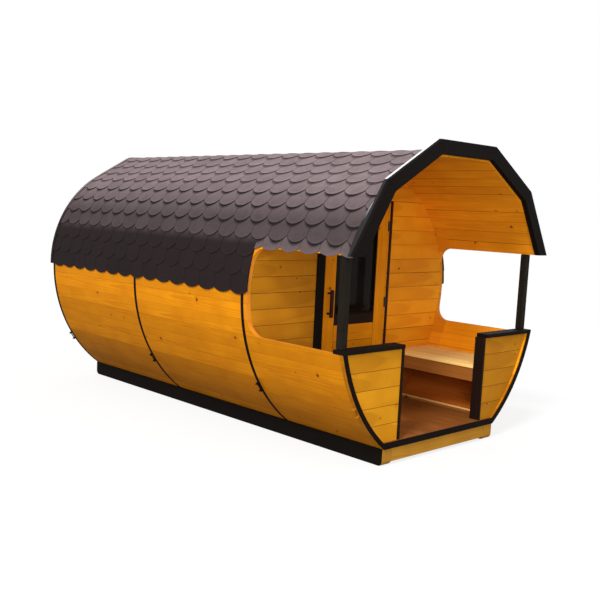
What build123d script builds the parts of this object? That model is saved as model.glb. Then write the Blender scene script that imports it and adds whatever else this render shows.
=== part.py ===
from build123d import *
import math
import os

# Oval barrel sauna with an open front porch, in millimetres.
# +X is to the right as seen from the porch, the porch looks along -Y, +Z is up.
# The origin is on the ground under the middle of the building.

# Overall form
body_length = 4030.0
porch_length = 1015.0
porch_setback = 35.0
half_width = 1240.0
wall_radius_extra = 135.0
ridge_radius = 120.0
stave_thickness = 42.0
fit_gap = 0.3

# Five sided outline of the roof, given at the outer edge of the front flashing
eave_height = 1550.0
shoulder_rise = 530.0
ridge_rise = 320.0
belly_drop = 350.0
ridge_half_width = 355.0
shoulder_half_width = 915.0
eave_overhang = 10.0
roof_recess = 80.0

# Base and floor
base_height = 130.0
runner_width = 110.0
runner_projection = 10.0
runner_nose_radius = 40.0
rim_thickness = 45.0
rim_clearance = 25.0
cross_beam_count = 3
floor_thickness = 48.0
sill_strip_thickness = 14.0

# Heights where the side walls are divided
lower_wall_top = 520.0
eave_wall_rise = 90.0

# Side openings of the porch
opening_sill_height = 870.0
opening_corner_radius = 130.0

# Front half walls, rails, posts and edge trims
entrance_width = 1080.0
half_wall_recess = 15.0
half_wall_thickness = 55.0
rail_thickness = 30.0
rail_height = 900.0
rail_front_overhang = 30.0
rail_depth = 110.0
rail_side_overhang = 4.0
post_size = 58.0
post_outer_inset = 3.0
hoop_trim_width = 32.0
hoop_trim_thickness = 15.0
entrance_trim_thickness = 22.0
entrance_trim_projection = 10.0

# Fascia boards, flashing and shingle cover
fascia_width = 108.0
fascia_thickness = 45.0
rear_fascia_width = 90.0
flashing_thickness = 2.0
flashing_cap = 22.0
flashing_foot = 45.0
cover_thickness = 12.0
cover_rim_margin = 12.0
shingle_width = 200.0
scallop_depth = 30.0
tab_root_rise = 15.0

# Cabin walls and doorway
partition_thickness = 55.0
rear_wall_thickness = 45.0
doorway_width = 780.0
doorway_height = 1780.0
door_gap = 6.0
door_thickness = 44.0
door_stile_width = 130.0
door_top_rail_width = 130.0
door_glass_bottom = 800.0
glass_thickness = 8.0
bead_width = 16.0
left_casing_width = 90.0
right_casing_width = 25.0
casing_thickness = 12.0
casing_gap = 12.0

# Door handle
handle_length = 230.0
handle_width = 30.0
handle_depth = 22.0
handle_standoff = 34.0
handle_post_radius = 9.0
handle_edge_distance = 46.0
handle_middle_height = 907.0

# Door hinges
hinge_count = 3
hinge_knuckle_radius = 7.0
hinge_knuckle_length = 44.0
hinge_pin_radius = 4.0
hinge_plate_width = 32.0
hinge_plate_thickness = 2.0
hinge_axis_offset = 9.0
hinge_end_distance = 220.0

# Steel bands and tensioners
band_width = 30.0
band_thickness = 2.5
band_edge_distance = 18.0
front_band_distance = 15.0
band_cover_overlap = 90.0
cabin_band_setback = 50.0
tensioner_height = 450.0
tensioner_spread = 70.0
tensioner_lug_height = 26.0
tensioner_lug_thickness = 6.0
tensioner_rod_radius = 4.5

# Bench on the right of the porch
bench_height = 450.0
bench_front_step = 20.0
bench_slat_count = 4
bench_slat_gap = 10.0
bench_slat_thickness = 28.0
bench_apron_height = 112.0
bench_apron_thickness = 25.0
bench_apron_setback = 10.0
bench_bearer_size = 45.0
bench_end_gap = 2.0
floor_batten_size = 22.0

# Places worked out from the sizes above
front = -body_length / 2
back = body_length / 2
wall_front = front + porch_setback
shoulder_height = eave_height + shoulder_rise
ridge_height = shoulder_height + ridge_rise
belly_height = eave_height - belly_drop
wall_radius = belly_height + wall_radius_extra
eave_half_width = half_width + eave_overhang
eave_wall_top = eave_height + eave_wall_rise
cover_cabin_edge = belly_height + tab_root_rise
cover_porch_edge = eave_height + tab_root_rise
partition_front = front + porch_length
partition_back = partition_front + partition_thickness
opening_split = partition_front - opening_corner_radius
opening_top = eave_height
floor_top = base_height + floor_thickness
rail_bottom = rail_height - rail_thickness
half_wall_front = wall_front + half_wall_recess
half_wall_back = half_wall_front + half_wall_thickness
rail_front = half_wall_front - rail_front_overhang
rail_back = rail_front + rail_depth
bench_front = entrance_width / 2 - bench_front_step
doorway_top = floor_top + doorway_height
far = 3 * half_width


def inset_corners(corners, distance):
    """Corners of the same open outline, moved inwards by a distance."""
    lines = []
    for start, end in zip(corners, corners[1:]):
        run, rise = end[0] - start[0], end[1] - start[1]
        length = math.hypot(run, rise)
        normal = (rise / length, -run / length)
        moved = (start[0] + normal[0] * distance, start[1] + normal[1] * distance)
        lines.append((moved, (run / length, rise / length)))
    first = lines[0][0]
    last_run = math.hypot(corners[-1][0] - corners[-2][0], corners[-1][1] - corners[-2][1])
    last = (lines[-1][0][0] + lines[-1][1][0] * last_run, lines[-1][0][1] + lines[-1][1][1] * last_run)
    inner = []
    for (a, along_a), (b, along_b) in zip(lines, lines[1:]):
        cross = along_a[0] * along_b[1] - along_a[1] * along_b[0]
        reach = ((b[0] - a[0]) * along_b[1] - (b[1] - a[1]) * along_b[0]) / cross
        inner.append((a[0] + along_a[0] * reach, a[1] + along_a[1] * reach))
    return [first, *inner, last]


roof_outline = [
    (0.0, ridge_height),
    (ridge_half_width, ridge_height),
    (shoulder_half_width, shoulder_height),
    (eave_half_width, eave_height),
]
stave_roof = inset_corners(roof_outline, roof_recess)
ridge_corner = stave_roof[1]
slope_angle = math.atan2(ridge_rise, shoulder_half_width - ridge_half_width)
haunch_height = ridge_corner[1] - (half_width - ridge_corner[0]) * math.tan(slope_angle)
haunch_turn = math.pi / 2 - slope_angle
haunch_radius = (haunch_height - belly_height) / math.tan(haunch_turn / 2)


def wall_x(height, inset):
    """Half width of the lower, round part of the wall at a height."""
    radius = wall_radius - inset
    return half_width - wall_radius + math.sqrt(radius**2 - (belly_height - height) ** 2)


def haunch_x(height, inset):
    """Half width of the round haunch above the widest part of the wall."""
    radius = haunch_radius - inset
    return half_width - haunch_radius + math.sqrt(radius**2 - (height - belly_height) ** 2)


def arc_point(centre_x, radius, angle):
    """Point on an arc about the height of the widest part of the wall, by its angle above it."""
    return centre_x + radius * math.cos(angle), belly_height + radius * math.sin(angle)


def section(inset, bottom):
    """Right half of the building's cross section, inset from the outer face of the staves."""
    top, ridge = inset_corners(roof_outline, roof_recess + inset)[:2]
    haunch_centre = half_width - haunch_radius
    haunch_inset = haunch_radius - inset
    slope_end = arc_point(haunch_centre, haunch_inset, haunch_turn)
    haunch_middle = arc_point(haunch_centre, haunch_inset, haunch_turn / 2)
    belly = (half_width - inset, belly_height)
    roof = FilletPolyline(top, ridge, slope_end, radius=ridge_radius - inset)
    haunch = ThreePointArc(slope_end, haunch_middle, belly)
    wall_inset = wall_radius - inset
    drop = math.asin((belly_height - bottom) / wall_inset)
    foot = (wall_x(bottom, inset), bottom)
    side = ThreePointArc(belly, arc_point(half_width - wall_radius, wall_inset, -drop / 2), foot)
    closing = Polyline(foot, (0.0, bottom), top)
    return make_face([*roof.edges(), *haunch.edges(), *side.edges(), *closing.edges()])


def upper_ring(outer, inner, low):
    """Right half of a strip between two insets of the cross section, above a height."""
    ring = section(outer, base_height) - section(inner, base_height)
    return ring & rectangle(0, far, low, far)


def prism(face, y_start, y_end):
    """Solid from a face drawn in X and Z, between two places along Y."""
    placed = Plane.XZ.offset(-y_end) * face
    return extrude(placed, amount=y_end - y_start)


def side_prism(face, x_start, x_end):
    """Solid from a face drawn in Y and Z, between two places along X."""
    placed = Plane.YZ.offset(x_start) * face
    return extrude(placed, amount=x_end - x_start)


def rectangle(x_start, x_end, z_start, z_end):
    """Upright rectangle, drawn in X and Z or in Y and Z."""
    return make_face(
        Polyline(
            (x_start, z_start), (x_end, z_start), (x_end, z_end), (x_start, z_end), close=True
        )
    )


def block(x_start, x_end, y_start, y_end, z_start, z_end):
    """Plain block between six planes."""
    return prism(rectangle(x_start, x_end, z_start, z_end), y_start, y_end)


def mirrored(shape):
    """The same piece on the other side of the building."""
    return mirror(shape, about=Plane.YZ)


def save(name, shape):
    """Write one piece to its own file."""
    shape.label = name
    export_step(shape, f"parts/{name}.step")


def save_pair(name, right_piece):
    """Write a right hand piece and its left hand twin."""
    save(f"{name}_right", right_piece)
    save(f"{name}_left", mirrored(right_piece))


def both_sides(right_piece):
    """A right hand piece and its left hand twin in one compound."""
    twins = [*right_piece.solids(), *mirrored(right_piece).solids()]
    return Compound(children=twins)


def stave_ring():
    """Cross section of the right half of the stave shell."""
    return section(0, base_height) - section(stave_thickness, base_height - stave_thickness)


def mitre_line(corners, index):
    """Points inside and outside a roof corner, on the line that halves its angle."""
    before, corner, after = corners[index - 1], corners[index], corners[index + 1]
    back_length = math.dist(before, corner)
    on_length = math.dist(corner, after)
    bisector = (
        (corner[0] - before[0]) / back_length - (after[0] - corner[0]) / on_length,
        (corner[1] - before[1]) / back_length - (after[1] - corner[1]) / on_length,
    )
    length = math.hypot(*bisector)
    reach = 2 * fascia_width
    step = (bisector[0] / length * reach, bisector[1] / length * reach)
    return (corner[0] - step[0], corner[1] - step[1]), (corner[0] + step[0], corner[1] + step[1])


def roof_zones(corners, low):
    """Regions of the right half section that hold the top, the upper and the lower slope."""
    ridge_in, ridge_out = mitre_line(corners, 1)
    shoulder_in, shoulder_out = mitre_line(corners, 2)
    top = Polyline((0.0, ridge_in[1]), ridge_in, ridge_out, (0.0, ridge_out[1]), close=True)
    upper = Polyline(ridge_in, shoulder_in, shoulder_out, ridge_out, close=True)
    lower = Polyline(
        (shoulder_in[0], low), (far, low), (far, shoulder_out[1]), shoulder_out, shoulder_in, close=True
    )
    return make_face(top), make_face(upper), make_face(lower)


def side_opening():
    """Space of the porch's right side opening, with its rounded rear corners."""
    outline = rectangle(front - porch_length, partition_front, opening_sill_height, opening_top)
    rear = outline.vertices().group_by(Axis.X)[-1]
    return side_prism(fillet(rear, opening_corner_radius), 0, far)


def rail_box():
    """Envelope of the right rail before its ends are shaped."""
    return block(
        entrance_width / 2 - rail_side_overhang,
        wall_x(rail_bottom, 0) + rail_side_overhang,
        rail_front,
        rail_back,
        rail_bottom,
        rail_height,
    )


def build_shell():
    """Stave walls and roof of the barrel, divided along its length and height."""
    ring = stave_ring()
    top_zone, upper_zone, lower_zone = roof_zones(stave_roof, opening_top)
    low_band = rectangle(0, far, 0, lower_wall_top)
    sill_band = rectangle(0, far, lower_wall_top, opening_sill_height)
    waist_band = rectangle(0, far, lower_wall_top, belly_height)
    knee_band = rectangle(0, far, belly_height, eave_wall_top)

    save_pair("lower_wall", prism(ring & low_band, wall_front, back))
    rail_seat = block(0, far, front - porch_length, rail_back + fit_gap, rail_bottom, far)
    save_pair("porch_wall", prism(ring & sill_band, wall_front, opening_split) - rail_seat)
    opening = side_opening()
    save_pair("cabin_wall", prism(ring & waist_band, opening_split, back) - opening)
    save_pair("cabin_eave", prism(ring & knee_band, opening_split, back) - opening)

    slope = prism(ring & lower_zone, front, back)
    slope -= block(0, far, opening_split, back + far, 0, eave_wall_top)
    save_pair("roof_lower_slope", slope)
    save_pair("roof_upper_slope", prism(ring & upper_zone, front, back))
    top = prism(ring & top_zone, front, back)
    save("roof_top", top + mirrored(top))


def scalloped_edge(y_start, y_end, height):
    """Points and arcs of a shingle edge that hangs in round tabs."""
    count = max(1, round(abs(y_end - y_start) / shingle_width))
    pitch = (y_end - y_start) / count
    arcs = []
    for index in range(count):
        begin = y_start + index * pitch
        middle = (begin + pitch / 2, height - scallop_depth)
        arcs.append(ThreePointArc((begin, height), middle, (begin + pitch, height)))
    return arcs


def build_shingle_cover():
    """Bent shingle cover, with scalloped eaves and a front end that rounds the side opening."""
    sheet = section(-cover_thickness, belly_height - porch_length / 2)
    sheet -= section(0, belly_height - porch_length / 2)
    rim = partition_front - cover_rim_margin
    turn_radius = opening_corner_radius
    turn = rim - turn_radius
    edges = scalloped_edge(back, rim, cover_cabin_edge)
    edges.append(Line((rim, cover_cabin_edge), (rim, cover_porch_edge - turn_radius)))
    half_turn = turn_radius * math.sqrt(0.5)
    edges.append(
        ThreePointArc(
            (rim, cover_porch_edge - turn_radius),
            (turn + half_turn, cover_porch_edge - turn_radius + half_turn),
            (turn, cover_porch_edge),
        )
    )
    edges += scalloped_edge(turn, front, cover_porch_edge)
    edges.append(Polyline((front, cover_porch_edge), (front, far), (back, far), (back, cover_cabin_edge)))
    joined = [edge for piece in edges for edge in piece.edges()]
    mask = side_prism(make_face(joined), 0, far)
    half = prism(sheet, front, back) & mask
    for middle in band_places():
        half -= band_ring(middle, band_thickness + fit_gap, band_width / 2 + fit_gap)
    save("shingle_cover", half + mirrored(half))


def outline_ring(outer, inner, low):
    """Right half of a five sided strip that follows the roof outline."""
    pieces = []
    for distance in (outer, inner):
        corners = inset_corners(roof_outline, distance)
        end_run = (corners[-1][0] - corners[-2][0]) / (corners[-1][1] - corners[-2][1])
        end = (corners[-2][0] + (low - corners[-2][1]) * end_run, low)
        pieces.append([(0.0, corners[0][1]), corners[1], corners[2], end])
    return make_face(Polyline(*pieces[0], *reversed(pieces[1]), close=True))


def build_fascia():
    """Mitred boards round the front arch, plain boards behind and the metal flashing."""
    low = eave_height
    boards = outline_ring(flashing_thickness, fascia_width, low)
    mitres = roof_zones(inset_corners(roof_outline, flashing_thickness), low - fascia_width)
    face_front = front - fascia_thickness
    top, upper, lower = [prism(boards & zone, face_front, front) for zone in mitres]
    save("front_fascia_top", top + mirrored(top))
    save("front_fascia_upper", both_sides(upper))
    save("front_fascia_lower", both_sides(lower))

    rear_inner = rear_fascia_width - cover_thickness
    rear = prism(upper_ring(-cover_thickness, rear_inner, belly_height), back, back + fascia_thickness)
    save("rear_fascia", rear + mirrored(rear))

    under = -cover_thickness
    cap = prism(outline_ring(0, flashing_thickness, low), front - flashing_cap, front + flashing_thickness)
    leg = prism(outline_ring(0, fascia_width, low), front, front + flashing_thickness)
    foot_face = upper_ring(under - flashing_thickness, under, low)
    foot = prism(foot_face, front, front + flashing_foot)
    flashing = cap + leg - prism(section(under, base_height), front, back) + foot
    save("front_flashing", flashing + mirrored(flashing))


def build_base():
    """Long runners, the rim boards at both ends and the beams that cross between them."""
    outer = wall_x(base_height, 0) + runner_projection
    inner = outer - runner_width
    profile = rectangle(wall_front, back, 0, base_height)
    noses = profile.vertices().group_by(Axis.Y)[0]
    save("base_runners", both_sides(side_prism(fillet(noses, runner_nose_radius), inner, outer)))
    save("front_rim_board", block(-inner, inner, wall_front, wall_front + rim_thickness, rim_clearance, base_height))
    beams = []
    spacing = (back - wall_front - rim_thickness) / (cross_beam_count + 1)
    for index in range(1, cross_beam_count + 2):
        start = wall_front + index * spacing
        beams.append(block(-inner, inner, start, start + rim_thickness, rim_clearance, base_height))
    save("cross_beams", Compound(children=[beam.solid() for beam in beams]))


def build_floor():
    """Board floors of porch and cabin, which lie on the runners between the staves."""
    panel = section(stave_thickness + fit_gap, base_height) & rectangle(0, far, base_height, floor_top)
    porch = prism(panel, wall_front, partition_front)
    save("porch_floor", porch + mirrored(porch))
    cabin = prism(panel, partition_front, back)
    save("cabin_floor", cabin + mirrored(cabin))
    strip = section(hoop_trim_width + fit_gap, base_height) & rectangle(0, far, base_height, floor_top)
    strip = prism(strip, wall_front - sill_strip_thickness, wall_front)
    save("front_sill_strip", strip + mirrored(strip))


def build_front():
    """Half walls beside the entrance with their rails, edge trims and corner posts."""
    inside = section(stave_thickness + fit_gap, base_height)
    panel = inside & rectangle(entrance_width / 2, far, floor_top, rail_bottom)
    save("half_walls", both_sides(prism(panel, half_wall_front, half_wall_back)))

    trim_edge = entrance_width / 2
    trim = block(
        trim_edge - entrance_trim_thickness,
        trim_edge,
        half_wall_front - entrance_trim_projection,
        rail_back,
        floor_top,
        rail_bottom,
    )
    save("entrance_trims", both_sides(trim))

    hoop = section(0, base_height) - section(hoop_trim_width, base_height - stave_thickness)
    hoop = hoop & rectangle(0, far, base_height, rail_bottom)
    save("front_hoop_trims", both_sides(prism(hoop, wall_front - hoop_trim_thickness, wall_front)))

    save("porch_rails", both_sides(rail_box()))

    post_outer = haunch_x(opening_top, 0) - post_outer_inset
    post_inner = post_outer - post_size
    post_front = rail_back - post_size
    post = block(post_inner, post_outer, post_front, rail_back, rail_height, opening_top)
    save("porch_posts", both_sides(post))


def hinge_places():
    """Heights of the middles of the door hinges."""
    low = floor_top + hinge_end_distance
    high = doorway_top - hinge_end_distance
    step = (high - low) / (hinge_count - 1)
    return [low + index * step for index in range(hinge_count)]


def hinge_plate(jamb, z_start, direction):
    """Flat plate let into the wood beside the hinge gap."""
    return block(
        min(jamb, jamb + direction * hinge_plate_thickness),
        max(jamb, jamb + direction * hinge_plate_thickness),
        partition_front - hinge_axis_offset + hinge_knuckle_radius - hinge_plate_thickness,
        partition_front + hinge_plate_width,
        z_start,
        z_start + hinge_knuckle_length,
    )


def hinge_knuckle(z_start):
    """Round eye of a hinge half."""
    knuckle = Cylinder(hinge_knuckle_radius, hinge_knuckle_length, align=(Align.CENTER, Align.CENTER, Align.MIN))
    return Pos(doorway_width / 2, partition_front - hinge_axis_offset, z_start) * knuckle


def hinge_neck(jamb, z_start):
    """Bent part of a hinge half, from its eye to its plate."""
    axis_x = doorway_width / 2
    return block(
        min(axis_x, jamb),
        max(axis_x, jamb),
        partition_front - hinge_axis_offset,
        partition_front - hinge_axis_offset + hinge_knuckle_radius,
        z_start,
        z_start + hinge_knuckle_length,
    )


def build_cabin_walls():
    """Partition beside and over the doorway, its casings and the rear wall."""
    inside = section(stave_thickness + fit_gap, floor_top)
    jamb = doorway_width / 2
    beside = prism(inside & rectangle(jamb, far, floor_top, far), partition_front, partition_back)
    over = prism(inside & rectangle(0, jamb, doorway_top, far), partition_front, partition_back)
    save("partition_left", mirrored(beside))
    for middle in hinge_places():
        beside -= hinge_plate(jamb, middle - hinge_knuckle_length, 1)
    save("partition_right", beside)
    save("partition_over_door", over + mirrored(over))

    face = partition_front - casing_thickness
    left_edge = -jamb - casing_gap
    left = block(left_edge - left_casing_width, left_edge, face, partition_front, floor_top, doorway_top)
    right_edge = jamb + casing_gap
    right = block(right_edge, right_edge + right_casing_width, face, partition_front, floor_top, doorway_top)
    save("doorway_casings", Compound(children=[left.solid(), right.solid()]))

    rear = prism(inside, back - rear_wall_thickness, back)
    save("rear_wall", rear + mirrored(rear))


def build_door():
    """Door leaf with its glazed upper part, beads, bar handle and lift-off hinges."""
    half = doorway_width / 2 - door_gap
    low = floor_top + door_gap
    high = doorway_top - door_gap
    leaf_front = partition_front
    leaf_back = leaf_front + door_thickness
    leaf = block(-half, half, leaf_front, leaf_back, low, high)
    glass_half = half - door_stile_width
    glass_low = floor_top + door_glass_bottom
    glass_high = high - door_top_rail_width
    leaf -= block(-glass_half, glass_half, leaf_front, leaf_back, glass_low, glass_high)
    middle_y = (leaf_front + leaf_back) / 2
    for middle in hinge_places():
        leaf -= hinge_plate(half, middle, -1)
    save("door_leaf", leaf)

    glass = block(
        -glass_half,
        glass_half,
        middle_y - glass_thickness / 2,
        middle_y + glass_thickness / 2,
        glass_low,
        glass_high,
    )
    save("door_glass", glass)

    beads = []
    for y_start in (leaf_front, middle_y + glass_thickness / 2):
        y_end = middle_y - glass_thickness / 2 if y_start == leaf_front else leaf_back
        ring = block(-glass_half, glass_half, y_start, y_end, glass_low, glass_high)
        ring -= block(
            bead_width - glass_half,
            glass_half - bead_width,
            y_start,
            y_end,
            glass_low + bead_width,
            glass_high - bead_width,
        )
        beads.append(ring.solid())
    save("door_beads", Compound(children=beads))

    handle_x = handle_edge_distance - half
    handle_low = floor_top + handle_middle_height - handle_length / 2
    bar_front = leaf_front - handle_standoff - handle_depth
    bar = block(
        handle_x - handle_width / 2,
        handle_x + handle_width / 2,
        bar_front,
        bar_front + handle_depth,
        handle_low,
        handle_low + handle_length,
    )
    bar = fillet(bar.edges(), handle_depth / 4)
    for height in (handle_low + handle_width, handle_low + handle_length - handle_width):
        stub = Cylinder(handle_post_radius, handle_standoff + handle_depth / 2)
        middle = leaf_front - (handle_standoff + handle_depth / 2) / 2
        bar += Pos(handle_x, middle, height) * Rot(90, 0, 0) * stub
    save("door_handle", bar)

    frame_halves = []
    leaf_halves = []
    for middle in hinge_places():
        pin = Cylinder(hinge_pin_radius, hinge_knuckle_length, align=(Align.CENTER, Align.CENTER, Align.MIN))
        pin = Pos(doorway_width / 2, partition_front - hinge_axis_offset, middle) * pin
        lower = hinge_knuckle(middle - hinge_knuckle_length)
        jamb = doorway_width / 2
        lower += hinge_neck(jamb + hinge_plate_thickness, middle - hinge_knuckle_length)
        lower += hinge_plate(jamb, middle - hinge_knuckle_length, 1)
        frame_halves.append((lower + pin).solid())
        upper = hinge_knuckle(middle)
        upper += hinge_neck(half - hinge_plate_thickness, middle)
        upper += hinge_plate(half, middle, -1)
        bore = Cylinder(hinge_pin_radius + fit_gap, 3 * hinge_knuckle_length)
        upper -= Pos(doorway_width / 2, partition_front - hinge_axis_offset, middle) * bore
        upper -= block(0, far, front, back, 0, middle + fit_gap)
        leaf_halves.append(upper.solid())
    save("frame_hinges", Compound(children=frame_halves))
    save("door_hinges", Compound(children=leaf_halves))


def band_places():
    """Places along Y of the middles of the steel bands that reach under the shingles."""
    cabin_band = partition_front + cabin_band_setback
    rear_band = back - band_edge_distance
    return [cabin_band, (cabin_band + rear_band) / 2, rear_band]


def band_ring(middle, thickness, half_band):
    """Right half of a flat steel strip bent round the wall."""
    top = cover_cabin_edge + band_cover_overlap
    ring = section(-thickness, base_height) - section(0, base_height - stave_thickness)
    ring = ring & rectangle(0, far, base_height, top)
    return prism(ring, middle - half_band, middle + half_band)


def tensioner(middle):
    """Two lugs on a band with the threaded rod that draws them together."""
    centre = (half_width - wall_radius, belly_height)
    angle = math.degrees(math.asin((belly_height - tensioner_height) / wall_radius))
    frame = Pos(centre[0], middle, centre[1]) * Rot(0, angle, 0)
    pieces = []
    lug = Box(tensioner_lug_height, band_width, tensioner_lug_thickness, align=(Align.MIN, Align.CENTER, Align.CENTER))
    for side in (-1, 1):
        place = Pos(wall_radius + band_thickness / 2, 0, side * tensioner_spread / 2)
        pieces.append(frame * place * lug)
    rod = Cylinder(tensioner_rod_radius, tensioner_spread + tensioner_lug_height)
    pieces.append(frame * Pos(wall_radius + tensioner_lug_height / 2 + band_thickness, 0, 0) * rod)
    return pieces


def build_bands():
    """Steel bands round the cabin and at the front edge, each with its tensioners."""
    names = ["cabin_front_band", "middle_band", "rear_band"]
    for name, middle in zip(names, band_places()):
        band = band_ring(middle, band_thickness, band_width / 2)
        for piece in tensioner(middle):
            band += piece
        save(name, both_sides(band))
    middle = wall_front + front_band_distance
    band = band_ring(middle, band_thickness, band_width / 2)
    band = band & block(0, far, front, back, 0, rail_bottom)
    for piece in tensioner(middle):
        band += piece
    save("front_band", both_sides(band))


def build_bench():
    """Slatted bench along the right side of the porch, and the batten at the floor's edge."""
    top = floor_top + bench_height
    slat_bottom = top - bench_slat_thickness
    y_start = rail_back + bench_end_gap
    y_end = partition_front - bench_end_gap
    inside = section(stave_thickness + fit_gap, floor_top)
    seat = inside & rectangle(bench_front, far, slat_bottom, top)
    seat = prism(seat, y_start, y_end)
    depth = wall_x(slat_bottom, stave_thickness) - bench_front
    pitch = (depth + bench_slat_gap) / bench_slat_count
    slats = []
    for index in range(bench_slat_count):
        x_start = bench_front + index * pitch
        x_end = x_start + pitch - bench_slat_gap if index < bench_slat_count - 1 else far
        slats.append((seat & block(x_start, x_end, front, back, 0, far)).solid())
    save("bench_seat", Compound(children=slats))

    apron_front = bench_front + bench_apron_setback
    apron_back = apron_front + bench_apron_thickness
    apron = block(apron_front, apron_back, y_start, y_end, slat_bottom - bench_apron_height, slat_bottom)
    save("bench_apron", apron)

    support = inside & rectangle(apron_back, far, slat_bottom - bench_bearer_size, slat_bottom)
    bearers = []
    travel = y_end - y_start - bench_bearer_size
    for index in range(3):
        start = y_start + travel * index / 2
        bearers.append(prism(support, start, start + bench_bearer_size).solid())
    save("bench_bearers", Compound(children=bearers))

    batten_outer = wall_x(floor_top, stave_thickness)
    batten = inside & rectangle(
        batten_outer - floor_batten_size, far, floor_top, floor_top + floor_batten_size
    )
    save("floor_batten", prism(batten, y_start, y_end))


os.makedirs("parts", exist_ok=True)
build_base()
build_floor()
build_shell()
build_shingle_cover()
build_fascia()
build_front()
build_cabin_walls()
build_door()
build_bands()
build_bench()
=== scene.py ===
import math
import random
from bisect import bisect_right

import bmesh
import bpy
from mathutils import Matrix, Vector


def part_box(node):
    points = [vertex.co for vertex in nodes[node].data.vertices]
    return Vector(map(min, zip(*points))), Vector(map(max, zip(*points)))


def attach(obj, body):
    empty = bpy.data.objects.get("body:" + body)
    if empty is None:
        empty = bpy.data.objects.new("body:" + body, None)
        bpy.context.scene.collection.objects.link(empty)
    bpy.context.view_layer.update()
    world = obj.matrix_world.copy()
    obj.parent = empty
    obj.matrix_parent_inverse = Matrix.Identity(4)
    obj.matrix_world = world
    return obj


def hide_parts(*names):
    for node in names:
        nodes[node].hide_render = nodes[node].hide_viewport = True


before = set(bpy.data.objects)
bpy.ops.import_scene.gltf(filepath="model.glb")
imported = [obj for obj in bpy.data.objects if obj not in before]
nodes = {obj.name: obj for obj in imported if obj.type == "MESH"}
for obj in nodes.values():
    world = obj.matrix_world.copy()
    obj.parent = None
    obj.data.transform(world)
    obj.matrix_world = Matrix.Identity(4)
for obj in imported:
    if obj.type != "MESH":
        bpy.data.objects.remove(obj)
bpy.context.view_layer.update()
rng = random.Random(7)

# Camera fitted to the photograph: its place in metres, its yaw, pitch and roll in degrees,
# its focal length in pixels of the photograph, and the shift that the photograph's crop needs
camera_place = (-5.3946, -5.7702, 1.8346)
camera_angles = (42.736, 7.145, -2.540)
focal_pixels = 837.12
photo_pixels = 600.0
sensor_width = 36.0
lens_shift = (0.05, 0.025)

# Driving sizes in metres, the same as in the part's source
body_length = 4.03
porch_length = 1.015
porch_setback = 0.035
half_wall_recess = 0.015
half_width = 1.24
wall_radius_extra = 0.135
ridge_radius = 0.12
eave_height = 1.55
shoulder_rise = 0.53
ridge_rise = 0.32
belly_drop = 0.35
ridge_half_width = 0.355
shoulder_half_width = 0.915
eave_overhang = 0.01
roof_recess = 0.08
base_height = 0.13
floor_thickness = 0.048
lower_wall_top = 0.52
eave_wall_rise = 0.09
opening_sill_height = 0.87
cover_rim_margin = 0.012
shingle_width = 0.2
scallop_depth = 0.03
tab_root_rise = 0.015
doorway_width = 0.78
doorway_height = 1.78
door_gap = 0.006
door_stile_width = 0.13
door_top_rail_width = 0.13
door_glass_bottom = 0.8

# Sizes of the boards and shingles that only the scene shows
board_cover = 0.127
half_wall_height = 5.4 * board_cover
half_wall_rows = 5
floor_columns = 11
seam_groove = 0.0014
joint_groove = 0.002
fascia_groove = 0.003
board_edge = 0.0022
flat_half_width = 0.34
flat_columns = 5
slope_split = 2.01
dark_board_height = 0.085
row_spacing = 0.145
tab_length = 0.22
tab_depth = 0.055
tab_thickness = 0.0028
tab_lift = 0.0085
tab_lean = 0.0393
tab_gap = 0.002
shortest_tab = 0.06
porch_row_shift = 0.07
porch_tip_rise = {"left": -0.015, "right": 0.001}
top_tip_distance = 0.06
cap_half_width = 0.13
cap_crown = 0.0004

# Places worked out from the sizes above
front = -body_length / 2
back = body_length / 2
half_wall_front = front + porch_setback + half_wall_recess
partition_front = front + porch_length
shoulder_height = eave_height + shoulder_rise
ridge_height = shoulder_height + ridge_rise
belly_height = eave_height - belly_drop
wall_radius = belly_height + wall_radius_extra
floor_top = base_height + floor_thickness
cover_rim = partition_front - cover_rim_margin
cover_cabin_edge = belly_height + tab_root_rise
cover_porch_edge = eave_height + tab_root_rise
glass_half_width = doorway_width / 2 - door_gap - door_stile_width
glass_bottom = floor_top + door_glass_bottom
glass_top = floor_top + doorway_height - door_gap - door_top_rail_width
roof_corners = [
    (ridge_half_width, ridge_height),
    (shoulder_half_width, shoulder_height),
    (half_width + eave_overhang, eave_height),
]
X, Y, Z = (1, 0, 0), (0, 1, 0), (0, 0, 1)
sides = (("left", -1), ("right", 1))
black_slot = "black_stained_wood"

# Growth rings and knots of sawn pine, in metres
rings_per_metre = 170.0
ring_slant = 0.006
knot_swell = 0.011
pith_depth = 0.03
pith_spread = 0.09
pith_drift = 0.09
knot_spacing = 0.2
knot_radii = (0.007, 0.017)
knot_wobble = 0.006
grain_relief = 0.0006
foot_height = 0.85

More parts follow.
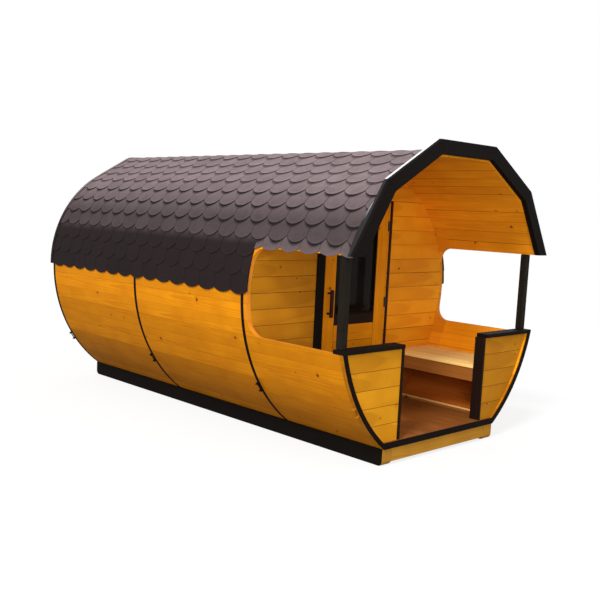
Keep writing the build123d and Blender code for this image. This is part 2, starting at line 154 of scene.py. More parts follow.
# Colours of early wood, late wood and knots in each stain, and what differs from wood()'s usual
stains = {
    "golden_pine": (
        (0.8, 0.292, 0.005), (0.57, 0.172, 0.002), (0.2, 0.05, 0.003),
        dict(tone=0.2, knots=0.22, foot=0.66),
    ),
    # Pine brightened as painted light, for the inside of the porch and cabin
    "shaded_pine": (
        (0.9, 0.345, 0.012), (0.72, 0.23, 0.006), (0.26, 0.06, 0.004),
        dict(tone=0.14, knots=0.12),
    ),
    # Pine brightened further as painted light, for the inner face of the porch's walls
    "porch_lit_pine": (
        (1.0, 0.4, 0.012), (0.86, 0.29, 0.006), (0.26, 0.06, 0.004),
        dict(tone=0.1, knots=0.15),
    ),
    "front_pine": (
        (0.76, 0.322, 0.01), (0.54, 0.203, 0.005), (0.17, 0.05, 0.004),
        dict(tone=0.14, knots=0.35),
    ),
    # Front pine darkened as painted shade, for the right half wall and the left of the partition
    "painted_shade_pine": (
        (0.59, 0.238, 0.01), (0.42, 0.15, 0.005), (0.14, 0.042, 0.004),
        dict(tone=0.14, knots=0.35),
    ),
    "golden_pine_seam": (
        (0.46, 0.16, 0.004), (0.36, 0.11, 0.003), (0.12, 0.03, 0.003),
        dict(knots=0.5, gloss=0.05),
    ),
    "golden_pine_joint": (
        (0.26, 0.08, 0.005), (0.18, 0.05, 0.004), (0.1, 0.025, 0.004),
        dict(knots=0.5, gloss=0.05),
    ),
    "golden_pine_rim": (
        (0.86, 0.34, 0.028), (0.66, 0.17, 0.012), (0.3, 0.1, 0.02),
        dict(knots=0.1),
    ),
    "bare_pine": (
        (0.56, 0.27, 0.03), (0.4, 0.165, 0.014), (0.12, 0.04, 0.01),
        dict(knots=0.25),
    ),
    "black_stain": (
        (0.0075, 0.0052, 0.0042), (0.005, 0.0036, 0.003), (0.004, 0.003, 0.0025),
        dict(gloss=0.05),
    ),
    "brown_black_stain": (
        (0.015, 0.0066, 0.0038), (0.009, 0.0042, 0.0028), (0.006, 0.003, 0.0025),
        dict(rough=0.55, gloss=0.08),
    ),
    "olive_black_stain": (
        (0.019, 0.014, 0.009), (0.01, 0.0075, 0.005), (0.006, 0.004, 0.003),
        dict(rough=0.55),
    ),
    "brown_deck": (
        (0.32, 0.11, 0.022), (0.2, 0.064, 0.012), (0.07, 0.02, 0.005),
        dict(knots=0.3, rough=0.55, gloss=0.1),
    ),
    # Brown painted shade, for the low inner faces of the porch beside and beneath the bench
    "brown_painted_shade": (
        (0.36, 0.085, 0.01), (0.24, 0.055, 0.006), (0.08, 0.02, 0.004),
        dict(),
    ),
    "bench_brown": (
        (0.42, 0.15, 0.028), (0.29, 0.096, 0.016), (0.14, 0.045, 0.012),
        dict(knots=0.3, rough=0.5, gloss=0.08),
    ),
    # Pale wood, brightened further as painted sunlight, for the bench's seat and the batten's top
    "bench_pale_sunlit": (
        (1.0, 0.72, 0.26), (0.97, 0.58, 0.16), (0.35, 0.14, 0.03),
        dict(rough=0.5, gloss=0.1, ring_contrast=0.7),
    ),
    "handle_wood": (
        (0.035, 0.007, 0.006), (0.02, 0.004, 0.004), (0.01, 0.003, 0.003),
        dict(knots=0.0, rough=0.4, gloss=0.12),
    ),
}

# Colours of the bitumen and its granules: dark on the steep parts as painted shade, and pale on the flat
# ones as painted sky light
bitumen_steep = (0.021, 0.0135, 0.0135)
bitumen_flat = (0.33, 0.252, 0.262)
granules_steep = (0.015, 0.0095, 0.0095)
granules_flat = (0.15, 0.108, 0.112)
# porch_edge_tone marks the flared row over the porch, which the shader pales as painted sky light
porch_edge_tone = 1.6
lap_shade_depth = 1.4

# Studio light: a sun from the left, a soft fill before the porch and an even white world
sun_energy = 2.0
sun_softness = 12.0
sun_direction = (0.72, 0.24, -0.78)
fill_energy = 170.0
fill_size = 2.8
fill_place = (-4.6, -5.8, 2.4)
fill_target = (0.4, -1.2, 1.3)
world_strength = 0.66
floor_reach = 40.0
floor_grey = (0.36, 0.36, 0.36)
floor_white = (0.95, 0.95, 0.95)
floor_glow = 0.8


def add_object(name, data):
    made = bpy.data.objects.new(name, data)
    bpy.context.scene.collection.objects.link(made)
    return made


def place_camera():
    yaw, pitch, roll = (math.radians(angle) for angle in camera_angles)
    level = math.cos(pitch)
    ahead = Vector((math.sin(yaw) * level, math.cos(yaw) * level, -math.sin(pitch)))
    right = Vector((math.cos(yaw), -math.sin(yaw), 0.0))
    down = ahead.cross(right)
    turned = math.cos(roll) * right + math.sin(roll) * down
    lowered = math.cos(roll) * down - math.sin(roll) * right
    matrix = Matrix((turned, -lowered, -ahead)).transposed().to_4x4()
    matrix.translation = camera_place
    data = bpy.data.cameras.new("photo_camera")
    data.sensor_width = sensor_width
    data.lens = focal_pixels * sensor_width / photo_pixels
    data.shift_x, data.shift_y = lens_shift
    camera = add_object("photo_camera", data)
    camera.matrix_world = matrix
    bpy.context.scene.camera = camera


class Graph:
    """Fills a node tree."""

    def __init__(self, tree):
        self.tree = tree
        self.tree.nodes.clear()

    def link(self, source, target):
        self.tree.links.new(source, target)

    def node(self, kind, **settings):
        made = self.tree.nodes.new(kind)
        for key, value in settings.items():
            setattr(made, key, value)
        return made

    def feed(self, socket, value):
        """Links a socket to another, or sets its constant."""
        if isinstance(value, bpy.types.NodeSocket):
            self.link(value, socket)
        else:
            socket.default_value = value

    def math(self, operation, a, b=0.0):
        made = self.node("ShaderNodeMath", operation=operation)
        self.feed(made.inputs[0], a)
        self.feed(made.inputs[1], b)
        return made.outputs[0]

    def white(self, kind, strength=1.0):
        """White light from a background or an emission."""
        made = self.node(kind)
        made.inputs[0].default_value = (1, 1, 1, 1)
        made.inputs[1].default_value = strength
        return made.outputs[0]

    def shader_mix(self, factor, a, b):
        made = self.node("ShaderNodeMixShader")
        for socket, value in zip(made.inputs, (factor, a, b)):
            self.feed(socket, value)
        return made.outputs[0]


class Shader(Graph):
    """A material with a principled shader and the sums that feed it."""

    def __init__(self, name):
        self.material = bpy.data.materials.new(name)
        self.material.use_nodes = True
        super().__init__(self.material.node_tree)
        self.out = self.node("ShaderNodeOutputMaterial")
        self.bsdf = self.node("ShaderNodeBsdfPrincipled")
        self.link(self.bsdf.outputs[0], self.out.inputs[0])

    def attribute(self, name, output="Fac"):
        return self.node("ShaderNodeAttribute", attribute_name=name).outputs[output]

    def place(self):
        return self.node("ShaderNodeTexCoord").outputs["Object"]

    def upward(self):
        """How far the surface faces the sky, from -1 to 1."""
        return self.split(self.node("ShaderNodeNewGeometry").outputs["Normal"])[2]

    def times(self, a, b):
        return self.math("MULTIPLY", a, b)

    def plus(self, a, b):
        return self.math("ADD", a, b)

    def centred(self, noise, reach):
        """Noise from 0 to 1, moved to lie about 0 and scaled."""
        return self.times(self.math("SUBTRACT", noise, 0.5), reach)

    def split(self, vector):
        made = self.node("ShaderNodeSeparateXYZ")
        self.link(vector, made.inputs[0])
        return made.outputs

    def join(self, x, y, z):
        made = self.node("ShaderNodeCombineXYZ")
        for socket, value in zip(made.inputs, (x, y, z)):
            self.feed(socket, value)
        return made.outputs[0]

    def length(self, vector):
        made = self.node("ShaderNodeVectorMath", operation="LENGTH")
        self.link(vector, made.inputs[0])
        return made.outputs["Value"]

    def noise(self, place, scale, detail=2.0, rough=0.5):
        made = self.node("ShaderNodeTexNoise")
        self.link(place, made.inputs["Vector"])
        for name, value in (("Scale", scale), ("Detail", detail), ("Roughness", rough)):
            made.inputs[name].default_value = value
        return made.outputs["Fac"]

    def cells(self, place, scale, dimensions="3D"):
        made = self.node("ShaderNodeTexVoronoi", voronoi_dimensions=dimensions)
        self.link(place, made.inputs["Vector"])
        made.inputs["Scale"].default_value = scale
        return made.outputs

    def ramp(self, value, low, high, to_low=0.0, to_high=1.0, smooth=True):
        """Turns low to high into to_low to to_high, and clamps it there."""
        made = self.node("ShaderNodeMapRange", interpolation_type="SMOOTHSTEP" if smooth else "LINEAR")
        for socket, given in zip(made.inputs, (value, low, high, to_low, to_high)):
            self.feed(socket, given)
        return made.outputs[0]

    def mix(self, factor, a, b, blend="MIX"):
        made = self.node("ShaderNodeMix", data_type="RGBA", blend_type=blend)
        self.feed(made.inputs[0], factor)
        for socket, value in ((made.inputs[6], a), (made.inputs[7], b)):
            self.feed(socket, (*value, 1.0) if isinstance(value, tuple) else value)
        return made.outputs[2]

    def tint(self, colour, other, mask, low, high, most=1.0, smooth=True):
        """Mixes in another colour, up to a share, as the mask goes from low to high."""
        return self.mix(self.ramp(mask, low, high, 0.0, most, smooth), colour, other)

    def dim(self, colour, level):
        return self.mix(1.0, colour, self.join(level, level, level), "MULTIPLY")

    def surface(self, colour, rough, gloss=0.5, metal=0.0):
        names = ("Base Color", "Roughness", "Specular IOR Level", "Metallic")
        for name, value in zip(names, (colour, rough, gloss, metal)):
            self.feed(self.bsdf.inputs[name], value)

    def bump(self, height, distance, strength):
        made = self.node("ShaderNodeBump")
        made.inputs["Strength"].default_value = strength
        made.inputs["Distance"].default_value = distance
        self.link(height, made.inputs["Height"])
        self.link(made.outputs[0], self.bsdf.inputs["Normal"])


def knot_masks(s, u, v, share):
    """Cores of the knots and the swirls round them, one knot at most in each cell of a pattern."""
    face = s.join(u, v, 0.0)
    cells = s.cells(face, 1 / knot_spacing, "2D")
    reach = s.times(cells["Distance"], knot_spacing)
    reach = s.plus(reach, s.centred(s.noise(face, 70.0, 1.0), knot_wobble))
    picked = s.split(cells["Color"])
    radius = s.ramp(picked[1], 0.0, 1.0, *knot_radii, smooth=False)
    present = s.math("LESS_THAN", picked[0], share)
    core = s.times(s.ramp(reach, radius, s.times(radius, 0.55)), present)
    swirl = s.times(s.ramp(reach, s.times(radius, 3.6), radius), present)
    return core, swirl


def ring_mask(s, u, v, w, board, swirl):
    """Late wood of growth rings about a pith that wanders below the board's face."""
    drift = s.noise(s.join(s.times(u, 0.9), s.times(v, 5.0), w), 1.0)
    across = s.plus(v, s.centred(drift, pith_drift))
    deep = s.plus(s.plus(w, s.times(board, pith_spread)), pith_depth)
    ring = s.length(s.join(across, deep, 0.0))
    ring = s.plus(ring, s.times(u, ring_slant))
    ring = s.plus(ring, s.times(swirl, knot_swell))
    wave = s.math("FRACT", s.times(ring, rings_per_metre))
    return s.times(s.ramp(wave, 0.25, 0.9), s.ramp(wave, 1.0, 0.93))


def wood(
    name, early, late, knot, tone=0.16, knots=0.2, rough=0.6, ring_contrast=0.55, gloss=0.06, foot=1.0
):
    """Sawn boards with growth rings, fibres and knots, laid out by each board's own axes.

    tone is how far boards differ, knots the share of places with a knot, and foot how dark the
    boards near the ground are beside those above.
    """
    s = Shader(name)
    grain = s.attribute("grain", "Vector")
    board = s.attribute("tone")
    u, v, w = s.split(grain)
    core, swirl = knot_masks(s, u, v, knots)
    late_wood = ring_mask(s, u, v, w, board, swirl)
    fibre = s.noise(s.join(s.times(u, 9.0), s.times(v, 420.0), s.times(w, 420.0)), 1.0)
    cloud = s.noise(grain, 3.2, 3.0)
    colour = s.mix(s.times(late_wood, ring_contrast), early, late)
    colour = s.tint(colour, late, fibre, 0.35, 0.75, most=0.22)
    colour = s.tint(colour, late, cloud, 0.35, 0.7, most=0.5)
    colour = s.dim(colour, s.ramp(board, 0.0, 1.0, 1.0 - tone, 1.0 + 0.5 * tone, smooth=False))
    if foot < 1.0:
        height = s.split(s.place())[2]
        colour = s.dim(colour, s.ramp(height, 0.0, foot_height, foot, 1.0))
    colour = s.mix(s.times(swirl, 0.45), colour, late)
    colour = s.mix(core, colour, knot)
    s.surface(colour, s.ramp(late_wood, 0.0, 1.0, rough + 0.06, rough - 0.04), gloss)
    relief = s.plus(s.times(late_wood, 0.35), s.times(fibre, 0.5))
    relief = s.math("SUBTRACT", relief, s.times(core, 0.8))
    s.bump(relief, grain_relief, 0.8)
    return s.material


def steel_shade(name, colour, other, scale, rough, metal=0.0, gloss=0.05):
    """Coated steel with fine and broad mottling."""
    s = Shader(name)
    place = s.place()
    fine = s.noise(place, scale, 3.0, 0.6)
    broad = s.noise(place, scale / 14, 3.0, 0.6)
    mottled = s.tint(colour, other, broad, 0.3, 0.7)
    mottled = s.tint(mottled, other, fine, 0.45, 0.8, most=0.5)
    s.surface(mottled, s.ramp(broad, 0.3, 0.7, rough - 0.06, rough + 0.08), gloss, metal)
    s.bump(fine, 0.0004, 0.5)
    return s.material


def shingle_shade(name):
    """Mineral granules on bitumen, with painted sky light where the roof faces the sky, painted shade
    where it is steep, and a painted shadow below the tips of each row.
    """
    s = Shader(name)
    place = s.place()
    tone = s.attribute("tone")
    upward = s.upward()
    speck = s.split(s.cells(place, 420.0)["Color"])[0]
    broad = s.noise(place, 5.0, 4.0)
    patch = s.noise(place, 21.0, 3.0)
    # Painted sky light where the roof faces the sky and on the flared row over the porch; painted shade
    # where it is steep
    slope_light = s.ramp(upward, 0.38, 0.47, 0.0, 0.21)
    top_light = s.ramp(upward, 0.57, 0.93, 0.0, 0.78, smooth=False)
    edge_light = s.ramp(tone, 1.2, 1.5, 0.0, 0.36)
    sky_light = s.math("MAXIMUM", s.plus(slope_light, top_light), edge_light)
    colour = s.mix(sky_light, bitumen_steep, bitumen_flat)
    granules = s.mix(sky_light, granules_steep, granules_flat)
    colour = s.tint(colour, granules, speck, 0.0, 1.0, most=0.6, smooth=False)
    colour = s.tint(colour, granules, broad, 0.35, 0.7, most=0.3)
    colour = s.tint(colour, granules, patch, 0.4, 0.75, most=0.25)
    # Painted shadow below the tips of the row above, weakest where the roof is steep or nearly flat
    shadow_reach = s.plus(s.attribute("under"), s.centred(patch, 0.012))
    lap_shadow = s.ramp(shadow_reach, 0.006, 0.042, 0.1, 1.0)
    lap_shadow = s.math("MAXIMUM", lap_shadow, s.ramp(sky_light, 0.45, 0.95, 0.0, 0.5))
    lap_shadow = s.math("MAXIMUM", lap_shadow, s.ramp(sky_light, 0.0, 0.3, 1.0, 0.0))
    level = s.times(s.ramp(tone, 0.0, 1.0, 0.93, 1.06, smooth=False), lap_shadow)
    # Painted highlight along each tab's own lower edge
    level = s.times(level, s.ramp(s.attribute("lip"), 0.0, 0.03, 1.14, 1.0))
    s.surface(s.dim(colour, level), 0.9, 0.12)
    s.bump(s.plus(speck, s.times(broad, 0.6)), 0.0009, 0.7)
    return s.material


def sky_lit_shade(name, steep, flat, low, high, rough, metal=0.0):
    """A surface with painted light: pale where it faces the sky and dark where it is steep."""
    s = Shader(name)
    fine = s.noise(s.place(), 60.0, 3.0, 0.6)
    colour = s.tint(steep, flat, s.upward(), low, high)
    colour = s.tint(colour, steep, fine, 0.45, 0.8, most=0.25)
    s.surface(colour, s.ramp(fine, 0.3, 0.7, rough, rough + 0.12), 0.1, metal)
    s.bump(fine, 0.0004, 0.5)
    return s.material


def glass_shade(name):
    """Tinted safety glass with faint waves; its near-black colour, which lets little light through, is
    painted shade of the dark cabin behind it.
    """
    s = Shader(name)
    waves = s.noise(s.place(), 2.5)
    s.surface(s.tint((0.007, 0.005, 0.004), (0.012, 0.009, 0.007), waves, 0.3, 0.7), 0.05)
    s.bsdf.inputs["Transmission Weight"].default_value = 0.15
    s.bsdf.inputs["IOR"].default_value = 1.22
    s.bump(waves, 0.002, 0.15)
    return s.material


def build_materials():
    made = {name: wood(name, *colours, **rest) for name, (*colours, rest) in stains.items()}
    others = {
        "bitumen_shingle": (shingle_shade,),
        # The flashing's pale top is a painted reflection of the sky
        "flashing_metal": (sky_lit_shade, (0.02, 0.018, 0.018), (0.8, 0.8, 0.81), 0.55, 0.8, 0.3, 0.1),
        # The rear fascia's outer edge takes the shingles' painted sky light and shade
        "faded_edge": (sky_lit_shade, (0.02, 0.013, 0.013), (0.27, 0.205, 0.212), 0.4, 0.95, 0.8),
        "black_steel": (steel_shade, (0.0045, 0.0035, 0.003), (0.007, 0.0055, 0.005), 240.0, 0.6),
        "tan_steel": (steel_shade, (0.46, 0.165, 0.007), (0.36, 0.125, 0.005), 240.0, 0.6),
        "hinge_steel": (steel_shade, (0.045, 0.035, 0.032), (0.03, 0.024, 0.022), 200.0, 0.45, 0.4, 0.3),
        "dark_glass": (glass_shade,),
    }
    for name, (shade, *settings) in others.items():
        made[name] = shade(name, *settings)
    return made


def build_floor():
    """Pale floor that looks white to the camera and keeps the part's shadow."""
    mesh = bpy.data.meshes.new("pale_floor")
    ends = ((-1, -1), (1, -1), (1, 1), (-1, 1))
    corners = [(x * floor_reach, y * floor_reach, 0) for x, y in ends]
    mesh.from_pydata(corners, [], [(0, 1, 2, 3)])
    s = Shader("pale_floor")
    seen = s.node("ShaderNodeLightPath").outputs["Is Camera Ray"]
    s.surface(s.mix(seen, floor_grey, floor_white), 0.9, 0.0)
    glow = s.white("ShaderNodeEmission")
    s.link(s.shader_mix(s.times(seen, floor_glow), s.bsdf.outputs[0], glow), s.out.inputs[0])
    mesh.materials.append(s.material)
    floor = add_object("pale_floor", mesh)


def build_world():
    """Even white light, before a plain white background."""
    world = bpy.data.worlds.new("studio")
    bpy.context.scene.world = world
    world.use_nodes = True
    g = Graph(world.node_tree)
    path = g.node("ShaderNodeLightPath").outputs
    seen = g.math("MAXIMUM", path["Is Camera Ray"], path["Is Glossy Ray"])
    seen = g.math("MAXIMUM", seen, path["Is Transmission Ray"])
    soft = g.white("ShaderNodeBackground", world_strength)
    plain = g.white("ShaderNodeBackground")
    out = g.node("ShaderNodeOutputWorld")
    g.link(g.shader_mix(seen, soft, plain), out.inputs[0])


def add_light(name, kind, energy, direction, place=(0, 0, 0)):
    data = bpy.data.lights.new(name, kind)
    data.energy = energy
    light = add_object(name, data)
    light.location = place
    light.rotation_mode = "QUATERNION"
    light.rotation_quaternion = direction.to_track_quat("-Z", "Y")
    return data


def build_light():
    key = add_light("key", "SUN", sun_energy, Vector(sun_direction).normalized())
    key.angle = math.radians(sun_softness)
    fill = add_light("fill", "AREA", fill_energy, Vector(fill_target) - Vector(fill_place), fill_place)
    fill.size = fill_size


def barrel_outline():
    """Dense points of the staves' outer face on the right, from the top to the base."""
    step = 0.004
    slope = math.atan2(ridge_rise, shoulder_half_width - ridge_half_width)
    ridge = Vector((ridge_half_width - roof_recess * math.tan(slope / 2), ridge_height - roof_recess))
    haunch_height = ridge.y - (half_width - ridge.x) * math.tan(slope)
    turn = math.pi / 2 - slope
    haunch_radius = (haunch_height - belly_height) / math.tan(turn / 2)
    wall_turn = math.asin((belly_height - base_height) / wall_radius)
    ridge_centre = Vector((ridge.x - ridge_radius * math.tan(slope / 2), ridge.y - ridge_radius))
    haunch_centre = Vector((half_width - haunch_radius, belly_height))
    roof_arcs = (
        (ridge_centre, ridge_radius, math.pi / 2, turn),
        (haunch_centre, haunch_radius, turn, 0.0),
    )
    points = [Vector((0.0, ridge.y))]
    for centre, radius, start, end in roof_arcs:
        count = round(radius * (start - end) / step)
        for part in range(count + 1):
            angle = start + (end - start) * part / count
            points.append(centre + Vector((math.cos(angle), math.sin(angle))) * radius)
    centre = Vector((half_width - wall_radius, belly_height))
    count = round(wall_radius * wall_turn / step)
    for part in range(count + 1):
        angle = wall_turn * part / count
        points.append(centre + Vector((wall_radius * math.cos(angle), -wall_radius * math.sin(angle))))
    dense = [points[0]]
    for a, b in zip(points, points[1:]):
        length = (b - a).length
        if length < 1e-7:
            continue
        count = max(1, math.ceil(length / step))
        dense += [a.lerp(b, part / count) for part in range(1, count + 1)]
    return dense


class Outline:
    """The outline by its distance from the top, measured along it."""

    def __init__(self):
        self.points = barrel_outline()
        self.along = [0.0]
        for a, b in zip(self.points, self.points[1:]):
            self.along.append(self.along[-1] + (b - a).length)
        self.length = self.along[-1]

    def at(self, distance):
        """Point and tangent at a distance from the top."""
        distance = min(max(distance, 0.0), self.length - 1e-6)
        low = bisect_right(self.along, distance) - 1
        high = low + 1
        part = (distance - self.along[low]) / (self.along[high] - self.along[low])
        before = self.points[max(low - 2, 0)]
        after = self.points[min(high + 2, len(self.points) - 1)]
        tangent = (after - before).normalized()
        return self.points[low].lerp(self.points[high], part), tangent

    def find(self, height):
        """Distance from the top at which the outline reaches a height."""
        return next((s for s, point in zip(self.along, self.points) if point.y <= height), self.length)


outline = Outline()


def solid_mesh(node):
    """The node's mesh with welded corners and whole flat faces."""
    bm = bmesh.new()
    bm.from_mesh(nodes[node].data)
    bmesh.ops.remove_doubles(bm, verts=bm.verts, dist=2e-5)
    bmesh.ops.dissolve_limit(bm, angle_limit=math.radians(0.4), verts=bm.verts, edges=bm.edges)
    return bm


def keep_side(bm, place, normal):
    """Cuts the mesh with a plane, keeps the side that the normal points to and closes it."""
    everything = bm.verts[:] + bm.edges[:] + bm.faces[:]
    cut = bmesh.ops.bisect_plane(
        bm, geom=everything, dist=1e-6, plane_co=place, plane_no=normal, clear_inner=True
    )
    edges = [e for e in cut["geom_cut"] if isinstance(e, bmesh.types.BMEdge) and len(e.link_faces) == 1]
    if edges:
        bmesh.ops.triangle_fill(bm, use_beauty=True, use_dissolve=True, edges=edges)


def islands(bm):
    """The vertices of each loose part."""
    seen = set()
    for vert in bm.verts:
        if vert in seen:
            continue
        group, stack = [], [vert]
        seen.add(vert)
        while stack:
            current = stack.pop()
            group.append(current)
            for edge in current.link_edges:
                other = edge.other_vert(current)
                if other not in seen:
                    seen.add(other)
                    stack.append(other)
        yield group


def on_plane(edge, planes):
    """Whether an edge lies in one of the planes."""
    return any(all(abs((v.co - place).dot(normal)) < 2e-5 for v in edge.verts) for place, normal in planes)


def sharp_edges(bm, degrees):
    limit = math.radians(degrees)
    return [e for e in bm.edges if len(e.link_faces) == 2 and e.calc_face_angle(0) > limit]


def bevel(bm, edges, width, segments, material=-1):
    bmesh.ops.bevel(
        bm, geom=edges, offset=width, offset_type="OFFSET", segments=segments,
        profile=0.5, affect="EDGES", clamp_overlap=True, material=material,
    )


class Cell:
    """Space of one board: the planes that bound it and the axes of its grain."""

    def __init__(self, planes, along, across, middle):
        self.planes = [(Vector(place), Vector(normal)) for place, normal in planes]
        self.along = Vector(along)
        self.across = Vector(across)
        self.middle = Vector(middle)


def saw(source, cell, edge, groove, joint_index):
    """The part of a mesh inside a cell, grooved where it was cut and rounded elsewhere."""
    bm = bmesh.new()
    bm.from_mesh(source)
    for place, normal in cell.planes:
        keep_side(bm, place, normal)
    if not bm.faces:
        bm.clear()
        return bm
    bmesh.ops.recalc_face_normals(bm, faces=bm.faces)
    sharp = sharp_edges(bm, 25)
    joints = [e for e in sharp if on_plane(e, cell.planes)]
    others = [e for e in sharp if e not in joints]
    if joints:
        bevel(bm, joints, groove, 1, joint_index)
        others = sharp_edges(bm, 60)
    if others:
        bevel(bm, others, edge, 2)
    return bm


def add_board(made, layers, group, cell, paint):
    """Copies one board with its own stretch of grain and its own tone."""
    along_shift = rng.uniform(0, 60)
    rng.random()  # spare draw, which keeps later boards as they are
    across_shift = rng.uniform(-0.03, 0.03)
    tone = rng.random()
    depth = cell.along.cross(cell.across)
    twin = {}
    for vert in group:
        copy = made.verts.new(vert.co)
        local = vert.co - cell.middle
        along, across = local.dot(cell.along) + along_shift, local.dot(cell.across) + across_shift
        copy[layers[0]] = (along, across, local.dot(depth))
        copy[layers[1]] = tone
        twin[vert] = copy
    for face in dict.fromkeys(f for v in group for f in v.link_faces):
        new = made.faces.new([twin[v] for v in face.verts])
        new.material_index = paint(face, face.material_index) if paint else face.material_index
        new.smooth = True


def boards(
    name, node, cells, material, joint=None, slot="stained_pine", body="building",
    edge=board_edge, groove=joint_groove, paint=None, extra=(),
):
    """One piece made of the node's solid, sawn into boards."""
    made = bmesh.new()
    source = bpy.data.meshes.new("source")
    start = solid_mesh(node)
    start.to_mesh(source)
    start.free()
    layers = (made.verts.layers.float_vector.new("grain"), made.verts.layers.float.new("tone"))
    for cell in cells:
        bm = saw(source, cell, edge, groove, 1 if joint else 0)
        for group in islands(bm):
            add_board(made, layers, group, cell, paint)
        bm.free()
    bpy.data.meshes.remove(source)
    finish_piece(name, made, [material, joint or material, *extra], slot, body, [node])


def finish_piece(name, bm, shades, slot, body, replaced):
    """Turns the mesh into a piece that rides a body and stands for CAD nodes."""
    smooth_angle = 36
    limit = math.cos(math.radians(smooth_angle))
    bm.normal_update()
    areas = {face: face.calc_area() for face in bm.faces}
    normals = []
    for face in bm.faces:
        for vert in face.verts:
            total = Vector()
            for other in vert.link_faces:
                if other.normal.dot(face.normal) > limit:
                    total += other.normal * areas[other]
            normals.append(total.normalized() if total.length > 1e-12 else face.normal.copy())
    for edge in sharp_edges(bm, smooth_angle):
        edge.smooth = False
    mesh = bpy.data.meshes.new(name)
    bm.to_mesh(mesh)
    bm.free()
    mesh.normals_split_custom_set(normals)
    for shade in shades:
        mesh.materials.append(shade)
    piece = add_object(name, mesh)
    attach(piece, body)
    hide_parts(*replaced)


def axis_cells(axis, low, high, count, along, across):
    """Cells between equal steps along an axis."""
    cells = []
    unit = Vector(axis)
    for index in range(count):
        start = low + (high - low) * index / count
        end = low + (high - low) * (index + 1) / count
        planes = []
        if index > 0:
            planes.append((unit * start, unit))
        if index < count - 1:
            planes.append((unit * end, -unit))
        cells.append(Cell(planes, along, across, unit * (start + end) / 2))
    return cells


def outline_place(distance, side):
    """Point and tangent of the outline on one side of the barrel, in space."""
    point, tangent = outline.at(distance)
    return Vector((side * point.x, 0.0, point.y)), Vector((side * tangent.x, 0.0, tangent.y))


def outline_cells(start, end, side):
    """Cells between planes square to the barrel's face."""
    count = max(1, round((end - start) / board_cover))
    cells = []
    for index in range(count):
        low, high = (start + (end - start) * (index + k) / count for k in (0, 1))
        planes = []
        if index > 0:
            planes.append(outline_place(low, side))
        if index < count - 1:
            place, tangent = outline_place(high, side)
            planes.append((place, -tangent))
        place, tangent = outline_place((low + high) / 2, side)
        cells.append(Cell(planes, Y, tangent, place))
    return cells


def split_at(cells, place):
    """Each cell twice, before and behind a plane across the barrel."""
    divided = []
    for cell in cells:
        for direction in (-1, 1):
            planes = [*cell.planes, ((0, place, 0), (0, direction, 0))]
            divided.append(Cell(planes, cell.along, cell.across, cell.middle))
    return divided


def rim_paint(face, given):
    """Paler cut edges round the side openings."""
    place, normal = face.calc_center_median(), face.normal
    beside = half_wall_front + 0.015 < place.y < partition_front + 0.05
    level = opening_sill_height - 0.01 < place.z < eave_height + 0.1
    turned = abs(normal.x) < 0.35 and (normal.y < -0.2 or abs(normal.z) > 0.9)
    return 2 if beside and level and turned else given


def inner_paint(face, given):
    """Paler rims, and on the inner face a brighter pine, as painted light for the inside."""
    found = rim_paint(face, given)
    inner = face.normal.x * face.calc_center_median().x < 0
    return 3 if found == 0 and inner else found


def porch_paint(face, given):
    """Brown painted shade on the inner face of the lowest staves in the porch."""
    place = face.calc_center_median()
    inner = face.normal.x * place.x < 0 and abs(place.x) > 0.5
    return 2 if inner and half_wall_front < place.y < partition_front + 0.01 else given


def partition_paint(face, given):
    """Brown painted shade low on the right, beneath the bench, and a dimmer tone of painted shade on the
    left.
    """
    place = face.calc_center_median()
    if face.normal.y < -0.5 and place.x > 0.5 and place.z < lower_wall_top:
        return 2
    return 3 if given == 0 and place.x < -0.4 else given


def right_paint(face, given):
    """Another tone on the right."""
    return 2 if given == 0 and face.calc_center_median().x > 0 else given


def rear_edge_paint(face, given):
    """The rear fascia's outer edge, with the painted sky light and shade of the shingles beside it."""
    place, normal = face.calc_center_median(), face.normal
    outward = normal.x * place.x + normal.z * (place.z - belly_height) > 0
    return 2 if outward and abs(normal.y) < 0.6 else given


def runner_paint(face, given):
    """Bare front ends of the stained runners."""
    return 2 if face.normal.y < -0.6 else given


def batten_paint(face, given):
    """Stain on all of the batten but its top, which is pale, partly as painted light."""
    return given if face.normal.z > 0.6 else 2


def window_board_paint(face, given):
    """Dark stain on the board below the door's window."""
    place = face.calc_center_median()
    below = glass_bottom - dark_board_height < place.z < glass_bottom
    return 2 if below and abs(place.x) < glass_half_width else given


